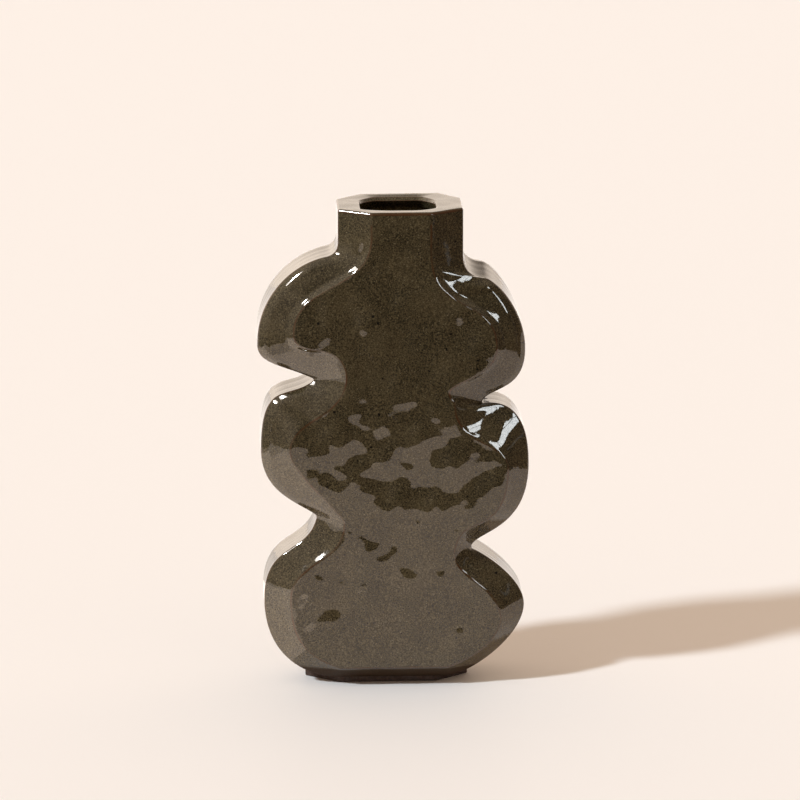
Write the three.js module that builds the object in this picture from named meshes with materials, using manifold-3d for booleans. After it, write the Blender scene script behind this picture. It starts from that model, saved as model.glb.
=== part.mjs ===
// A slab-built stoneware vase: two dished face slabs with a carved bevel, eight wall strips bent to the lobes
// between them, a plate with the mouth on top and a foot plate below. Millimetres, +Z up, front towards -Y.
import * as THREE from 'three';
import { mergeVertices, toCreasedNormals } from 'three/addons/utils/BufferGeometryUtils.js';
import Module from 'manifold-3d';

// Walls and depths
const STRIP_DEPTH = 20; // wall strips, from the front joint to the back joint
const STRIP_WALL = 5.5; // thickness of the wall strips, and of the slab edges that meet them
const SLAB_WALL = 5.5; // thickness of a face slab behind its flat
const SLAB_EDGE = 2; // square edge of a face slab, behind its arris
const FRONT_BEVEL = 7.5; // depth that the bevel is carved into the front
const BACK_BEVEL = 10.5; // depth that the bevel is carved into the back
const BEVEL_SWAY = 0.5; // the bevel is hollowed by this next to its flat, and as full next to its arris
const HOLLOW_EASE = 2; // the flat of the hollow is this much smaller than the flat outside
const LUTE_GAP = 0.3; // room for the slip between the foot plate's plug and the walls

// Neck, mouth and foot
const NECK_RISE = 22.4; // rim above the higher shoulder
const MOUTH_PLATE = 6; // thickness of the plate on top of the neck
const MOUTH_LENGTH = 37;
const MOUTH_DEPTH = 30;
const MOUTH_CORNER = { length: 8, front: 4, back: 9 }; // cut off each corner of the mouth
const MOUTH_SHIFT = -1; // the mouth sits a little left of the neck's middle
const LIP_BEVEL = 2; // bevel inside the lip, inwards
const LIP_DROP = 2.7; // bevel inside the lip, downwards
const THROAT_FLARE = 1; // the mouth widens by this again on its way down
const FOOT_HEIGHT = 3;
const FOOT_LENGTH = 86;
const FOOT_CORNER = { length: 16, front: 12, back: 6 }; // cut off each corner of the foot
const FOOT_CORE = 1; // the plug runs this far down into the foot plate
const BOTTOM_REACH = 26.5; // half length of the level bottom edge
const BOTTOM_BEVEL = 7; // height of the bevel along the bottom

// The outline of each side. A lobe's tip lies above the corner below it and below the corner above it, and reach
// is measured out from the middle plane. Under and over are the two curves of a lobe, from each corner to the
// tip: slope is the angle of the flank in degrees, flank and round are the curve's handles at corner and tip.
// The edge is the outer arris; the flat is the inner side of the bevel, inset and lifted from the edge.
const LEFT = {
  out: -1,
  neck: { reach: 26.9, frontBevel: 15.9, backBevel: 12, fillet: 6, flatFillet: 5, flatLift: 5.4 },
  lower: {
    below: 40.7, above: 42.3, reach: 63.5, corner: 37.5,
    edge: { under: { slope: 2, flank: 22, round: 25 }, over: { slope: -79, flank: 21, round: 30 } },
    flat: { under: { slope: 20, flank: 19.5, round: 19 }, over: { slope: -89, flank: 19.5, round: 19.5 } },
    tipInset: 12.8, tipLift: 1.8, cornerInset: 13, cornerLift: -2.9,
  },
  middle: {
    below: 33.8, above: 35.2, reach: 64.7, corner: 38.2,
    edge: { under: { slope: 39, flank: 10.5, round: 22.5 }, over: { slope: -41, flank: 17, round: 37 } },
    flat: { under: { slope: 120, flank: 5, round: 12 }, over: { slope: -82, flank: 21, round: 16 } },
    tipInset: 13.9, tipLift: 1.2, cornerInset: 15, cornerLift: 1.5,
  },
  upper: {
    below: 18, above: 44.6, reach: 66.2,
    edge: { under: { slope: 27, flank: 17, round: 10.5 }, over: { slope: -12, flank: 16.5, round: 24.5 } },
    flat: { under: { slope: 91, flank: 21.5, round: 13 }, over: { slope: -69, flank: 18, round: 23 } },
    tipInset: 17.4, tipLift: 6.5,
  },
};
const RIGHT = {
  out: 1,
  neck: { reach: 33.8, frontBevel: 15.9, backBevel: 10, fillet: 10.3, flatFillet: 5, flatLift: 9.5 },
  lower: {
    below: 36.4, above: 29.1, reach: 64.2, corner: 38,
    edge: { under: { slope: 2, flank: 11.5, round: 16.5 }, over: { slope: -24, flank: 7, round: 13 } },
    flat: { under: { slope: 18, flank: 22, round: 3 }, over: { slope: -112, flank: 20, round: 22 } },
    tipInset: 11.9, tipLift: -6.2, cornerInset: 7.3, cornerLift: 5,
  },
  middle: {
    below: 42.4, above: 31.1, reach: 66.2, corner: 43,
    edge: { under: { slope: 86, flank: 8.5, round: 35 }, over: { slope: 7, flank: 19, round: 17 } },
    flat: { under: { slope: 71, flank: 16, round: 35 }, over: { slope: -91, flank: 22, round: 13 } },
    tipInset: 10.6, tipLift: 0.6, cornerInset: 13.5, cornerLift: 2.5,
  },
  upper: {
    below: 27, above: 37, reach: 64.2,
    edge: { under: { slope: 78, flank: 8.5, round: 22.5 }, over: { slope: -6, flank: 5.5, round: 20 } },
    flat: { under: { slope: 135, flank: 17, round: 19 }, over: { slope: -78, flank: 20, round: 23 } },
    tipInset: 14.3, tipLift: 3,
  },
};

// Steps along each curve of a lobe, along the fillet under the neck and across the bevel
const LOBE_STEPS = 10;
const FILLET_STEPS = 4;
const BEVEL_STEPS = 4;
const CREASE = THREE.MathUtils.degToRad(20); // faces that meet at a smaller angle are shaded as one surface

// Heights and depths that follow
const shoulderHeight = (side) => [side.lower, side.middle, side.upper]
  .reduce((height, lobe) => height + lobe.below + lobe.above, FOOT_HEIGHT);
const rimHeight = Math.max(shoulderHeight(LEFT), shoulderHeight(RIGHT)) + NECK_RISE;
const wallTop = rimHeight - MOUTH_PLATE;
const vaseDepth = FRONT_BEVEL + SLAB_EDGE + STRIP_DEPTH + SLAB_EDGE + BACK_BEVEL;
const frontFace = -vaseDepth / 2;
const backFace = vaseDepth / 2;
const frontArris = frontFace + FRONT_BEVEL;
const backArris = backFace - BACK_BEVEL;
const frontJoint = frontArris + SLAB_EDGE;
const backJoint = backArris - SLAB_EDGE;

// Glaze on the body, bare clay on the foot
const glaze = () => new THREE.MeshStandardMaterial({ color: 0x352e20, roughness: 0.1, metalness: 0 });
const bareClay = () => new THREE.MeshStandardMaterial({ color: 0x4a3426, roughness: 0.85, metalness: 0 });

// One curve of a lobe, from a corner to the tip, upright at the tip
function halfLobe(corner, tip, bend) {
  const angle = THREE.MathUtils.degToRad(bend.slope);
  const lean = new THREE.Vector2(Math.cos(angle), Math.sin(angle)).multiplyScalar(bend.flank);
  const turn = new THREE.Vector2(0, Math.sign(corner.y - tip.y) * bend.round);
  const curve = new THREE.CubicBezierCurve(corner, corner.clone().add(lean), tip.clone().add(turn), tip);
  return curve.getPoints(LOBE_STEPS);
}

// The neck and the fillet at its foot, from the top of the walls to the end of the fillet
function neckPath(reach, height, fillet, slope) {
  const angle = THREE.MathUtils.degToRad(slope);
  const corner = new THREE.Vector2(reach, height);
  const start = new THREE.Vector2(reach, height + fillet);
  const end = corner.clone().add(new THREE.Vector2(Math.cos(angle), Math.sin(angle)).multiplyScalar(fillet));
  const bend = new THREE.QuadraticBezierCurve(start, corner, end).getPoints(FILLET_STEPS);
  return [new THREE.Vector2(reach, wallTop), ...bend];
}

// One side of the edge or of the flat, from the neck down to the bottom, with the pieces that it falls into
function sidePath(side, level, neckBevel) {
  const onFlat = level === 'flat';
  const neckReach = side.neck.reach - (onFlat ? neckBevel : 0);
  const neckHeight = shoulderHeight(side) + (onFlat ? side.neck.flatLift : 0);
  const fillet = onFlat ? side.neck.flatFillet : side.neck.fillet;
  const pieces = { neck: neckPath(neckReach, neckHeight, fillet, side.upper[level].over.slope) };
  let above = pieces.neck.at(-1);
  let height = shoulderHeight(side);
  const lobes = ['upper', 'middle', 'lower'];
  lobes.forEach((name, index) => {
    const lobe = side[name];
    const next = side[lobes[index + 1]];
    const tip = new THREE.Vector2(lobe.reach, height - lobe.above);
    height -= lobe.above + lobe.below;
    const below = new THREE.Vector2(next ? next.corner : BOTTOM_REACH, height);
    if (onFlat) {
      tip.add(new THREE.Vector2(-lobe.tipInset, lobe.tipLift));
      below.add(next ? new THREE.Vector2(-next.cornerInset, next.cornerLift) : new THREE.Vector2(0, BOTTOM_BEVEL));
    }
    const over = halfLobe(above, tip, lobe[level].over);
    const under = halfLobe(below, tip, lobe[level].under).reverse();
    pieces[name] = [...over, ...under.slice(1)];
    above = below;
  });
  return pieces;
}

// A path moved towards the middle of the vase, square to its run, which goes on level along the bottom
function inset(path, distance) {
  return path.map((point, index) => {
    const before = path[Math.max(index - 1, 0)];
    const after = path[index + 1];
    const along = after ? after.clone().sub(before).normalize() : new THREE.Vector2(-1, 0);
    return new THREE.Vector2(point.x + along.y * distance, point.y - along.x * distance);
  });
}

const wholePath = (pieces) => [
  ...pieces.neck, ...pieces.upper.slice(1), ...pieces.middle.slice(1), ...pieces.lower.slice(1),
];

// Both sides in one row of points, from the right of the neck round the bottom to the left of the neck
function rowAround(level, neckBevel, distance) {
  const right = inset(wholePath(sidePath(RIGHT, level, RIGHT.neck[neckBevel])), distance);
  const left = inset(wholePath(sidePath(LEFT, level, LEFT.neck[neckBevel])), distance);
  const mirrored = left.map((point) => new THREE.Vector2(-point.x, point.y)).reverse();
  return [...right, ...mirrored];
}

// Triangles that fill an outline, counter-clockwise
function fill(outline) {
  return THREE.ShapeUtils.triangulateShape(outline, []).map(([a, b, c]) => {
    const turn = outline[b].clone().sub(outline[a]).cross(outline[c].clone().sub(outline[a]));
    return turn > 0 ? [a, b, c] : [a, c, b];
  });
}

function solidFrom(points, triangles) {
  const geometry = new THREE.BufferGeometry();
  const positions = points.flatMap((point) => [point.x, point.y, point.z]);
  geometry.setAttribute('position', new THREE.Float32BufferAttribute(positions, 3));
  geometry.setIndex(triangles.flat());
  return toCreasedNormals(geometry, CREASE);
}

// The bevel in rows from the flat to the arris: a little hollow near the flat and full near the arris
function bevelRows(flat, edge, facing, face, arris) {
  const rows = [];
  for (let step = 1; step < BEVEL_STEPS; step += 1) {
    const share = step / BEVEL_STEPS;
    const wave = Math.sin(2 * Math.PI * share);
    const y = THREE.MathUtils.lerp(face, arris, share) - facing * BEVEL_SWAY * wave;
    rows.push({ row: flat.map((point, index) => point.clone().lerp(edge[index], share)), y });
  }
  return rows;
}

// A face slab: flat, bevel, square edge, joint with the strips, and the hollow behind, in rows round the outline
function faceSlabGeometry(facing, neckBevel, face, arris, joint) {
  const flat = rowAround('flat', neckBevel, 0);
  const edge = rowAround('edge', neckBevel, 0);
  const rows = [
    { row: flat, y: face },
    ...bevelRows(flat, edge, facing, face, arris),
    { row: edge, y: arris },
    { row: edge, y: joint },
    { row: rowAround('edge', neckBevel, STRIP_WALL), y: joint },
    { row: rowAround('flat', neckBevel, HOLLOW_EASE), y: face - facing * SLAB_WALL },
  ];
  const count = flat.length;
  const points = rows.flatMap(({ row, y }) => row.map((point) => new THREE.Vector3(point.x, y, point.y)));
  const triangles = [];
  for (let row = 0; row < rows.length - 1; row += 1) {
    for (let index = 0; index < count - 1; index += 1) {
      const near = row * count + index;
      const far = near + count;
      triangles.push([near, near + 1, far + 1], [near, far + 1, far]);
    }
  }
  triangles.push(...fill(flat));
  const hollow = (rows.length - 1) * count;
  triangles.push(...fill(rows.at(-1).row).map(([a, b, c]) => [hollow + a, hollow + c, hollow + b]));
  const rim = [];
  for (let row = 0; row < rows.length; row += 1) {
    rim.push(row * count);
  }
  for (let row = rows.length - 1; row >= 0; row -= 1) {
    rim.push(row * count + count - 1);
  }
  const rimOutline = rim.map((index) => new THREE.Vector2(points[index].x, -facing * points[index].y));
  triangles.push(...fill(rimOutline).map((corners) => corners.map((index) => rim[index])));
  const outward = facing < 0 ? triangles : triangles.map(([a, b, c]) => [a, c, b]);
  return solidFrom(points, outward);
}

// A wall strip: its outer run and the same run moved in by the wall, drawn through the depth of the vase
function stripGeometry(side, name) {
  const pieces = sidePath(side, 'edge', 0);
  const outer = wholePath(pieces);
  const inner = inset(outer, STRIP_WALL);
  const first = outer.indexOf(pieces[name].find((point) => outer.includes(point)));
  const last = outer.lastIndexOf(pieces[name].at(-1));
  const start = name === 'neck' ? first : first - 1;
  const outline = [...outer.slice(start, last + 1), ...inner.slice(start, last + 1).reverse()];
  const shape = new THREE.Shape(outline.map((point) => new THREE.Vector2(side.out * point.x, point.y)));
  const geometry = new THREE.ExtrudeGeometry(shape, { depth: STRIP_DEPTH, bevelEnabled: false });
  geometry.rotateX(Math.PI / 2);
  return geometry;
}

// Eight corners round a long plan shape with its corners cut, from the left end of the front edge
function cutPlan(middle, centre, length, depth, corner) {
  const [end, edge] = [length / 2, length / 2 - corner.length];
  const [front, back] = [centre - depth / 2, centre + depth / 2];
  const corners = [
    [-edge, front], [edge, front], [end, front + corner.front], [end, back - corner.back],
    [edge, back], [-edge, back], [-end, back - corner.back], [-end, front + corner.front],
  ];
  return corners.map(([x, y]) => new THREE.Vector2(middle + x, y));
}

// The plate on the neck: the neck's own plan outside, and the mouth with its bevelled lip inside
function mouthPlateGeometry() {
  const [left, right] = [LEFT.neck, RIGHT.neck];
  const plan = [
    new THREE.Vector2(left.frontBevel - left.reach, frontFace),
    new THREE.Vector2(right.reach - right.frontBevel, frontFace),
    new THREE.Vector2(right.reach, frontArris),
    new THREE.Vector2(right.reach, backArris),
    new THREE.Vector2(right.reach - right.backBevel, backFace),
    new THREE.Vector2(left.backBevel - left.reach, backFace),
    new THREE.Vector2(-left.reach, backArris),
    new THREE.Vector2(-left.reach, frontArris),
  ];
  const middle = (right.reach - left.reach) / 2 + MOUTH_SHIFT;
  const mouth = (ease) => cutPlan(
    middle, 0, MOUTH_LENGTH - 2 * ease, MOUTH_DEPTH - 2 * ease, MOUTH_CORNER,
  );
  const rows = [
    { row: plan, z: 0 },
    { row: plan, z: MOUTH_PLATE },
    { row: mouth(0), z: MOUTH_PLATE },
    { row: mouth(LIP_BEVEL), z: MOUTH_PLATE - LIP_DROP },
    { row: mouth(-THROAT_FLARE), z: 0 },
  ];
  const count = plan.length;
  const points = rows.flatMap(({ row, z }) => row.map((point) => new THREE.Vector3(point.x, point.y, z)));
  const triangles = [];
  rows.forEach((_, row) => {
    const nextRow = (row + 1) % rows.length;
    plan.forEach((__, index) => {
      const next = (index + 1) % count;
      const [a, b] = [row * count + index, row * count + next];
      const [c, d] = [nextRow * count + next, nextRow * count + index];
      triangles.push([a, b, c], [a, c, d]);
    });
  });
  return solidFrom(points, triangles);
}

const wasm = await Module();
wasm.setup();

function toManifold(geometry) {
  const bare = geometry.clone();
  bare.deleteAttribute('normal');
  bare.deleteAttribute('uv');
  const merged = mergeVertices(bare);
  const vertProperties = new Float32Array(merged.attributes.position.array);
  const triVerts = new Uint32Array(merged.index.array);
  return new wasm.Manifold(new wasm.Mesh({ numProp: 3, vertProperties, triVerts }));
}

function fromManifold(solid) {
  const mesh = solid.getMesh();
  const geometry = new THREE.BufferGeometry();
  geometry.setAttribute('position', new THREE.BufferAttribute(mesh.vertProperties, 3));
  geometry.setIndex(new THREE.BufferAttribute(mesh.triVerts, 1));
  return toCreasedNormals(geometry, CREASE);
}

// The foot plate: a plate with cut corners that shows below the walls, and a plug that fills the gap between them
function footPlateGeometry() {
  const centre = (frontJoint + backJoint) / 2;
  const plan = cutPlan(0, centre, FOOT_LENGTH, STRIP_DEPTH, FOOT_CORNER);
  const plate = new THREE.ExtrudeGeometry(new THREE.Shape(plan), { depth: FOOT_HEIGHT, bevelEnabled: false });
  const plugLength = 2 * (BOTTOM_REACH - LUTE_GAP);
  const plugDepth = STRIP_DEPTH - 2 * LUTE_GAP;
  const plugHeight = FOOT_CORE + STRIP_WALL;
  const plug = new THREE.BoxGeometry(plugLength, plugDepth, plugHeight);
  plug.translate(0, centre, FOOT_HEIGHT - FOOT_CORE + plugHeight / 2);
  return fromManifold(toManifold(plate).add(toManifold(plug)));
}

function namedMesh(name, geometry, material) {
  const mesh = new THREE.Mesh(geometry, material);
  mesh.name = name;
  return mesh;
}

const vase = new THREE.Group();

const frontSlab = faceSlabGeometry(-1, 'frontBevel', frontFace, frontArris, frontJoint);
vase.add(namedMesh('front_slab', frontSlab, glaze()));
const backSlab = faceSlabGeometry(1, 'backBevel', backFace, backArris, backJoint);
vase.add(namedMesh('back_slab', backSlab, glaze()));

const walls = new THREE.Group();
walls.position.y = backJoint;
for (const [sideName, side] of Object.entries({ left: LEFT, right: RIGHT })) {
  for (const pieceName of ['neck', 'upper', 'middle', 'lower']) {
    walls.add(namedMesh(`${sideName}_${pieceName}_strip`, stripGeometry(side, pieceName), glaze()));
  }
}
vase.add(walls);

const mouthPlate = namedMesh('mouth_plate', mouthPlateGeometry(), glaze());
mouthPlate.position.z = wallTop;
vase.add(mouthPlate);

vase.add(namedMesh('foot_plate', footPlateGeometry(), bareClay()));

export default vase;
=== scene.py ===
import math

import bmesh
import bpy
import numpy as np
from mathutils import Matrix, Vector, geometry, noise


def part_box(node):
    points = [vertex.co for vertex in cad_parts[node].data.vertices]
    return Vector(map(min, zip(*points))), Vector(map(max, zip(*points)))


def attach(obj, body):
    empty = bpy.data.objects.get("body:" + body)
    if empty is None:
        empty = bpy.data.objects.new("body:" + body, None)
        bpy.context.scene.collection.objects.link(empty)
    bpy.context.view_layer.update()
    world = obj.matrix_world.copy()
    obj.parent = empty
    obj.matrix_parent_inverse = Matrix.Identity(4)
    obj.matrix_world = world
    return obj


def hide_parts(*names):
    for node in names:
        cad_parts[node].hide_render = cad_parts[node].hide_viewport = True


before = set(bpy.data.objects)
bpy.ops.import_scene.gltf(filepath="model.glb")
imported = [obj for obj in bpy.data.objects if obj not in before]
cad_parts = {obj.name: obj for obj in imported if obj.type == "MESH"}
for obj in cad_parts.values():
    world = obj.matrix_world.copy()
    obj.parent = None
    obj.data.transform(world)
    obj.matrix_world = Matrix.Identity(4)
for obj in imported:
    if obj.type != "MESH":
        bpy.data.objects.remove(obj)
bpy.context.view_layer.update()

MM = 0.001

# Planes of the construction, read from the frame
STRIP_LOW, STRIP_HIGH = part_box("left_upper_strip")
PLATE_LOW, PLATE_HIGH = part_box("mouth_plate")
FOOT_LOW, FOOT_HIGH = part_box("foot_plate")
FRONT_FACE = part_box("front_slab")[0].y / MM
BACK_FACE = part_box("back_slab")[1].y / MM
FRONT_JOINT = STRIP_LOW.y / MM
BACK_JOINT = STRIP_HIGH.y / MM
WALL_TOP = PLATE_LOW.z / MM
RIM = PLATE_HIGH.z / MM
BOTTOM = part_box("front_slab")[0].z / MM

# Sizes of the construction that the glazed pieces keep
FRONT_EDGE = 0.6
BACK_EDGE = 2.0
FRONT_ARRIS = FRONT_JOINT - FRONT_EDGE
BACK_ARRIS = BACK_JOINT + BACK_EDGE
STRIP_WALL = 5.5
SLAB_WALL = 5.5
HOLLOW_EASE = 2.0    # how far the hollow behind a flat stays inside its outline
BOTTOM_REACH = 26.5
BOTTOM_BEVEL = 7.0
MOUTH_LEFT = 18.6
MOUTH_RIGHT = 18.6
MOUTH_FRONT = 15.2
MOUTH_BACK = 14.8
MOUTH_CORNERS = {   # how far each cut corner runs along the mouth's length and along its depth
    "front_left": (11.0, 3.5),
    "front_right": (7.0, 4.5),
    "back_right": (6.0, 10.0),
    "back_left": (7.0, 8.0),
}
MOUTH_SHIFT = -1.0      # the mouth's middle from the neck's, a little to the left
MOUTH_SOFTNESS = 22.0   # the power that rounds the mouth's corners, sharper as it grows
MOUTH_BACK_SINES = (0.2, 0.9)   # sines of the bearings between which the mouth's back sets in
LIP_BEVEL = 2.0
LIP_DROP = 1.6
LIP_FRONT_SHARE = 0.25   # the part of the lip's bevel that is left at the front
RIM_FALL = 0.55          # how far the rim falls towards the mouth at the back
THROAT_FLARE = 1.0       # how much wider the throat is at the plate's underside
FOOT_LEFT = 43.0
FOOT_RIGHT = 37.0
FOOT_CUT_FRONT = (16.0, 12.0)   # along the foot's length and depth
FOOT_CUT_BACK = (6.0, 6.0)
FOOT_WEAR = 0.5

# The outline of each side
# Below and above are heights from a lobe's tip to its corners; reach and corner are how far the tip and the
# corner over it stand out from the middle. Under and over are a lobe's two curves, on the edge and on the
# flat, each with its slope in degrees and its handle at the corner, and its handle at the tip. Insets and
# lifts place the flat's tips and corners from those of the edge. Carve is how much of the steep cut a bevel
# has beside the flat and beside the arris. Each ripple of a lobe's upper bevel has height, middle and span.
LEFT = {
    "out": -1,
    "neck": {
        "reach": 26.9, "front_bevel": 15.9, "back_bevel": 12.0,
        "fillet": 6.0, "flat_fillet": 5.0, "flat_lift": 5.4, "back_lift": 0.0,
        "carve": (0.98, 0.2),
    },
    "lower": {
        "below": 40.7, "above": 42.3, "reach": 63.5, "corner": 37.5,
        "edge": {"under": (2, 22, 25), "over": (-79, 21, 30)},
        "flat": {"under": (20, 19.5, 19), "over": (-89, 19.5, 19.5)},
        "tip_inset": 12.8, "tip_lift": 1.8, "corner_inset": 13.0, "corner_lift": -2.9,
        "carve": (0.63, 0.0),
        "ripples": [(0.127, 0.626, 0.315), (0.049, 0.753, 0.205)],
    },
    "middle": {
        "below": 33.8, "above": 35.2, "reach": 64.7, "corner": 38.2,
        "edge": {"under": (39, 10.5, 22.5), "over": (-41, 17, 37)},
        "flat": {"under": (120, 5, 12), "over": (-82, 21, 16)},
        "tip_inset": 13.9, "tip_lift": 1.2, "corner_inset": 15.0, "corner_lift": 1.5,
        "carve": (0.0, 0.89),
        "ripples": [(-0.187, 0.536, 0.227), (-0.3, 0.621, 0.376)],
    },
    "upper": {
        "below": 18.0, "above": 44.6, "reach": 66.2,
        "edge": {"under": (27, 17, 10.5), "over": (-12, 16.5, 24.5)},
        "flat": {"under": (91, 21.5, 13), "over": (-69, 18, 23)},
        "tip_inset": 17.4, "tip_lift": 6.5,
        "carve": (0.755, 0.96),
        "ripples": [(-0.094, 0.51, 0.7), (0.086, 0.739, 0.506)],
    },
}
RIGHT = {
    "out": 1,
    "neck": {
        "reach": 33.8, "front_bevel": 15.9, "back_bevel": 10.0,
        "fillet": 10.3, "flat_fillet": 5.0, "flat_lift": 9.5, "back_lift": 3.0,
        "carve": (0.07, 0.13),
    },
    "lower": {
        "below": 36.4, "above": 29.1, "reach": 64.2, "corner": 38.0,
        "edge": {"under": (2, 11.5, 16.5), "over": (-24, 7, 13)},
        "flat": {"under": (18, 22, 3), "over": (-112, 20, 22)},
        "tip_inset": 11.9, "tip_lift": -6.2, "corner_inset": 7.3, "corner_lift": 5.0,
        "carve": (0.45, 0.05),
    },
    "middle": {
        "below": 42.4, "above": 31.1, "reach": 66.2, "corner": 43.0,
        "edge": {"under": (86, 8.5, 35), "over": (7, 19, 17)},
        "flat": {"under": (71, 16, 35), "over": (-91, 22, 13)},
        "tip_inset": 10.6, "tip_lift": 0.6, "corner_inset": 13.5, "corner_lift": 2.5,
        "carve": (0.0, 0.0),
        "ripples": [(-0.38, 0.409, 0.7), (0.092, 0.748, 0.7), (0.172, 0.164, 0.354)],
    },
    "upper": {
        "below": 27.0, "above": 37.0, "reach": 64.2,
        "edge": {"under": (78, 8.5, 22.5), "over": (-6, 5.5, 20)},
        "flat": {"under": (135, 17, 19), "over": (-78, 20, 23)},
        "tip_inset": 14.3, "tip_lift": 3.0,
        "carve": (0.74, 0.97),
        "ripples": [(0.22, 0.3, 0.261), (0.103, 0.377, 0.427), (-0.128, 0.526, 0.45)],
    },
}
LOBES = ("upper", "middle", "lower")

# How the glaze rounds the worked clay
CREST = 1.1          # half width of the soft edge between flat and bevel
ARRIS = 0.9          # how far the rounded outer arris reaches over the bevel
ARRIS_DOWN = 0.4     # and how far down the edge behind it
FACET = (2.3, 4.9)   # the steep cut beside flat and arris keeps its slope this far, and has eased off here
FACET_SLOPE = 0.93
FACET_LIMIT = 0.8    # the most of a bevel's width that its steep cuts take
CARVE_RISE = (0.0, 0.3)   # shares of a lobe's upper run between which its own cuts set in
CARVE_FALL = (0.1, 0.8)   # shares of its lower run, from the corner, between which they do
RIPPLE_FADE = 0.8    # the part of its span at which a ripple has mostly died away
NOTCH = 1.5          # how far from a notch its rounding starts
RIM_ROUND = 1.1
RIM_WALL = 1.6       # rim roundings from the top to where the upright wall ends
LIP_ROUND = 0.9
LIP_EDGE = ((0.8, 0.8, 0.3), (1.0, 1.0, 1.0), (0.7, 1.25, 0.3))   # parts of bevel and drop, and thinness

# How thin the glaze runs: parts of the way to bare, and rows of a section over which that fades
CREST_THIN = 0.9
CREST_FADE = 3.5
ARRIS_FADE = 2.5
LIP_THIN = 0.6

# Steps of the meshes
NECK_STEPS = 8
FILLET_STEPS = 12
LOBE_STEPS = 38
NOTCH_STEPS = 8
BOTTOM_STEPS = 26
CREST_STEPS = 8
BEVEL_STEPS = 16
ARRIS_STEPS = 5
STRIP_STEPS = 16
RIM_STEPS = 6
NOTCH_HALVINGS = 40
FALL_STEPS = 40
FILLET_SHARE = 0.3         # the neck's fillet as a share of the upper run under it, for the ripples
GRID = 1.2                 # spacing of the points that fill a worked flat
GRID_CLEAR = 0.8 * GRID    # and how clear of its outline they stay
FILL_INSIDE = 1            # the kind of fill that keeps the triangles inside the outline
FILL_NEAR = 1e-6           # points nearer than this count as one
SHARP = math.radians(38)   # edges that turn more than this stay sharp

# Hand-made unevenness: spans run across, deep and up, and a face wave starts across and up in its noise
FACE_WAVES = (
    {"spans": (14.0, 30.0, 16.0), "height": 0.80, "start": (46.357, 7.938)},
    {"spans": (10.0, 30.0, 11.0), "height": 0.45, "start": (56.6, 6.091)},
    {"spans": (7.0, 30.0, 8.0), "height": 0.22, "start": (52.714, 34.0)},
    {"spans": (5.0, 20.0, 5.5), "height": 0.12, "start": (37.0, 6.182)},
)
FACE_SINK = 0.6     # how deep the worked face lies on the whole
SEAM_FADE = 30.0    # how far below the mouth plate the face's waves are full
STRIP_WAVE = {"along": 45.0, "deep": 3.2, "height": 0.09}
STRIP_FADE = 4.0    # how far from the slabs a strip's waves are full
LIP_WAVE = {"span": 9.0, "height": 0.12}


def lean(slope, length):
    """A step of a length at a slope in degrees."""
    angle = math.radians(slope)
    return Vector((math.cos(angle), math.sin(angle))) * length


def curve_point(controls, t):
    """The point at a share of the smooth curve over a row of control points."""
    points = [point.copy() for point in controls]
    while len(points) > 1:
        points = [a.lerp(b, t) for a, b in zip(points, points[1:])]
    return points[0]


def half_lobe(corner, tip, bend):
    """Control points of one curve of a lobe, from a corner to the tip, upright at the tip."""
    slope, flank, round_length = bend
    turn = Vector((0.0, math.copysign(round_length, corner.y - tip.y)))
    return [corner, corner + lean(slope, flank), tip + turn, tip]


def shoulder_height(side):
    return BOTTOM + sum(side[name]["below"] + side[name]["above"] for name in LOBES)


def side_curves(side, level, bevel):
    """The neck's corner and the control points of each lobe's two curves, from the neck down."""
    on_flat = level == "flat"
    neck = side["neck"]
    corner = Vector((neck["reach"], shoulder_height(side)))
    fillet = neck["fillet"]
    if on_flat:
        corner += Vector((-neck[bevel], neck["flat_lift"]))
        fillet = neck["flat_fillet"]
    elif bevel == "back_bevel":
        corner += Vector((0.0, neck["back_lift"]))
    start = corner + Vector((0.0, fillet))
    end = corner + lean(side["upper"][level]["over"][0], fillet)
    curves = {"fillet": [start, corner, end]}
    above, height = end, shoulder_height(side)
    for index, name in enumerate(LOBES):
        lobe = side[name]
        tip = Vector((lobe["reach"], height - lobe["above"]))
        height -= lobe["above"] + lobe["below"]
        is_last = index == len(LOBES) - 1
        next_lobe = None if is_last else side[LOBES[index + 1]]
        below = Vector((BOTTOM_REACH if is_last else next_lobe["corner"], height))
        if on_flat:
            tip += Vector((-lobe["tip_inset"], lobe["tip_lift"]))
            if is_last:
                below += Vector((0.0, BOTTOM_BEVEL))
            else:
                below += Vector((-next_lobe["corner_inset"], next_lobe["corner_lift"]))
        bends = lobe[level]
        curves[name] = (half_lobe(above, tip, bends["over"]), half_lobe(below, tip, bends["under"]))
        above = below
    return curves


def notch_start(controls):
    """The share of a curve, from its corner, that the rounding of the notch takes."""
    low, high = 0.0, 0.5
    for _ in range(NOTCH_HALVINGS):
        middle = (low + high) / 2
        if (curve_point(controls, middle) - controls[0]).length < NOTCH:
            low = middle
        else:
            high = middle
    return low


def steps(first, last, count):
    """Even steps between two values, with both ends."""
    return [first + (last - first) * index / count for index in range(count + 1)]


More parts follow.
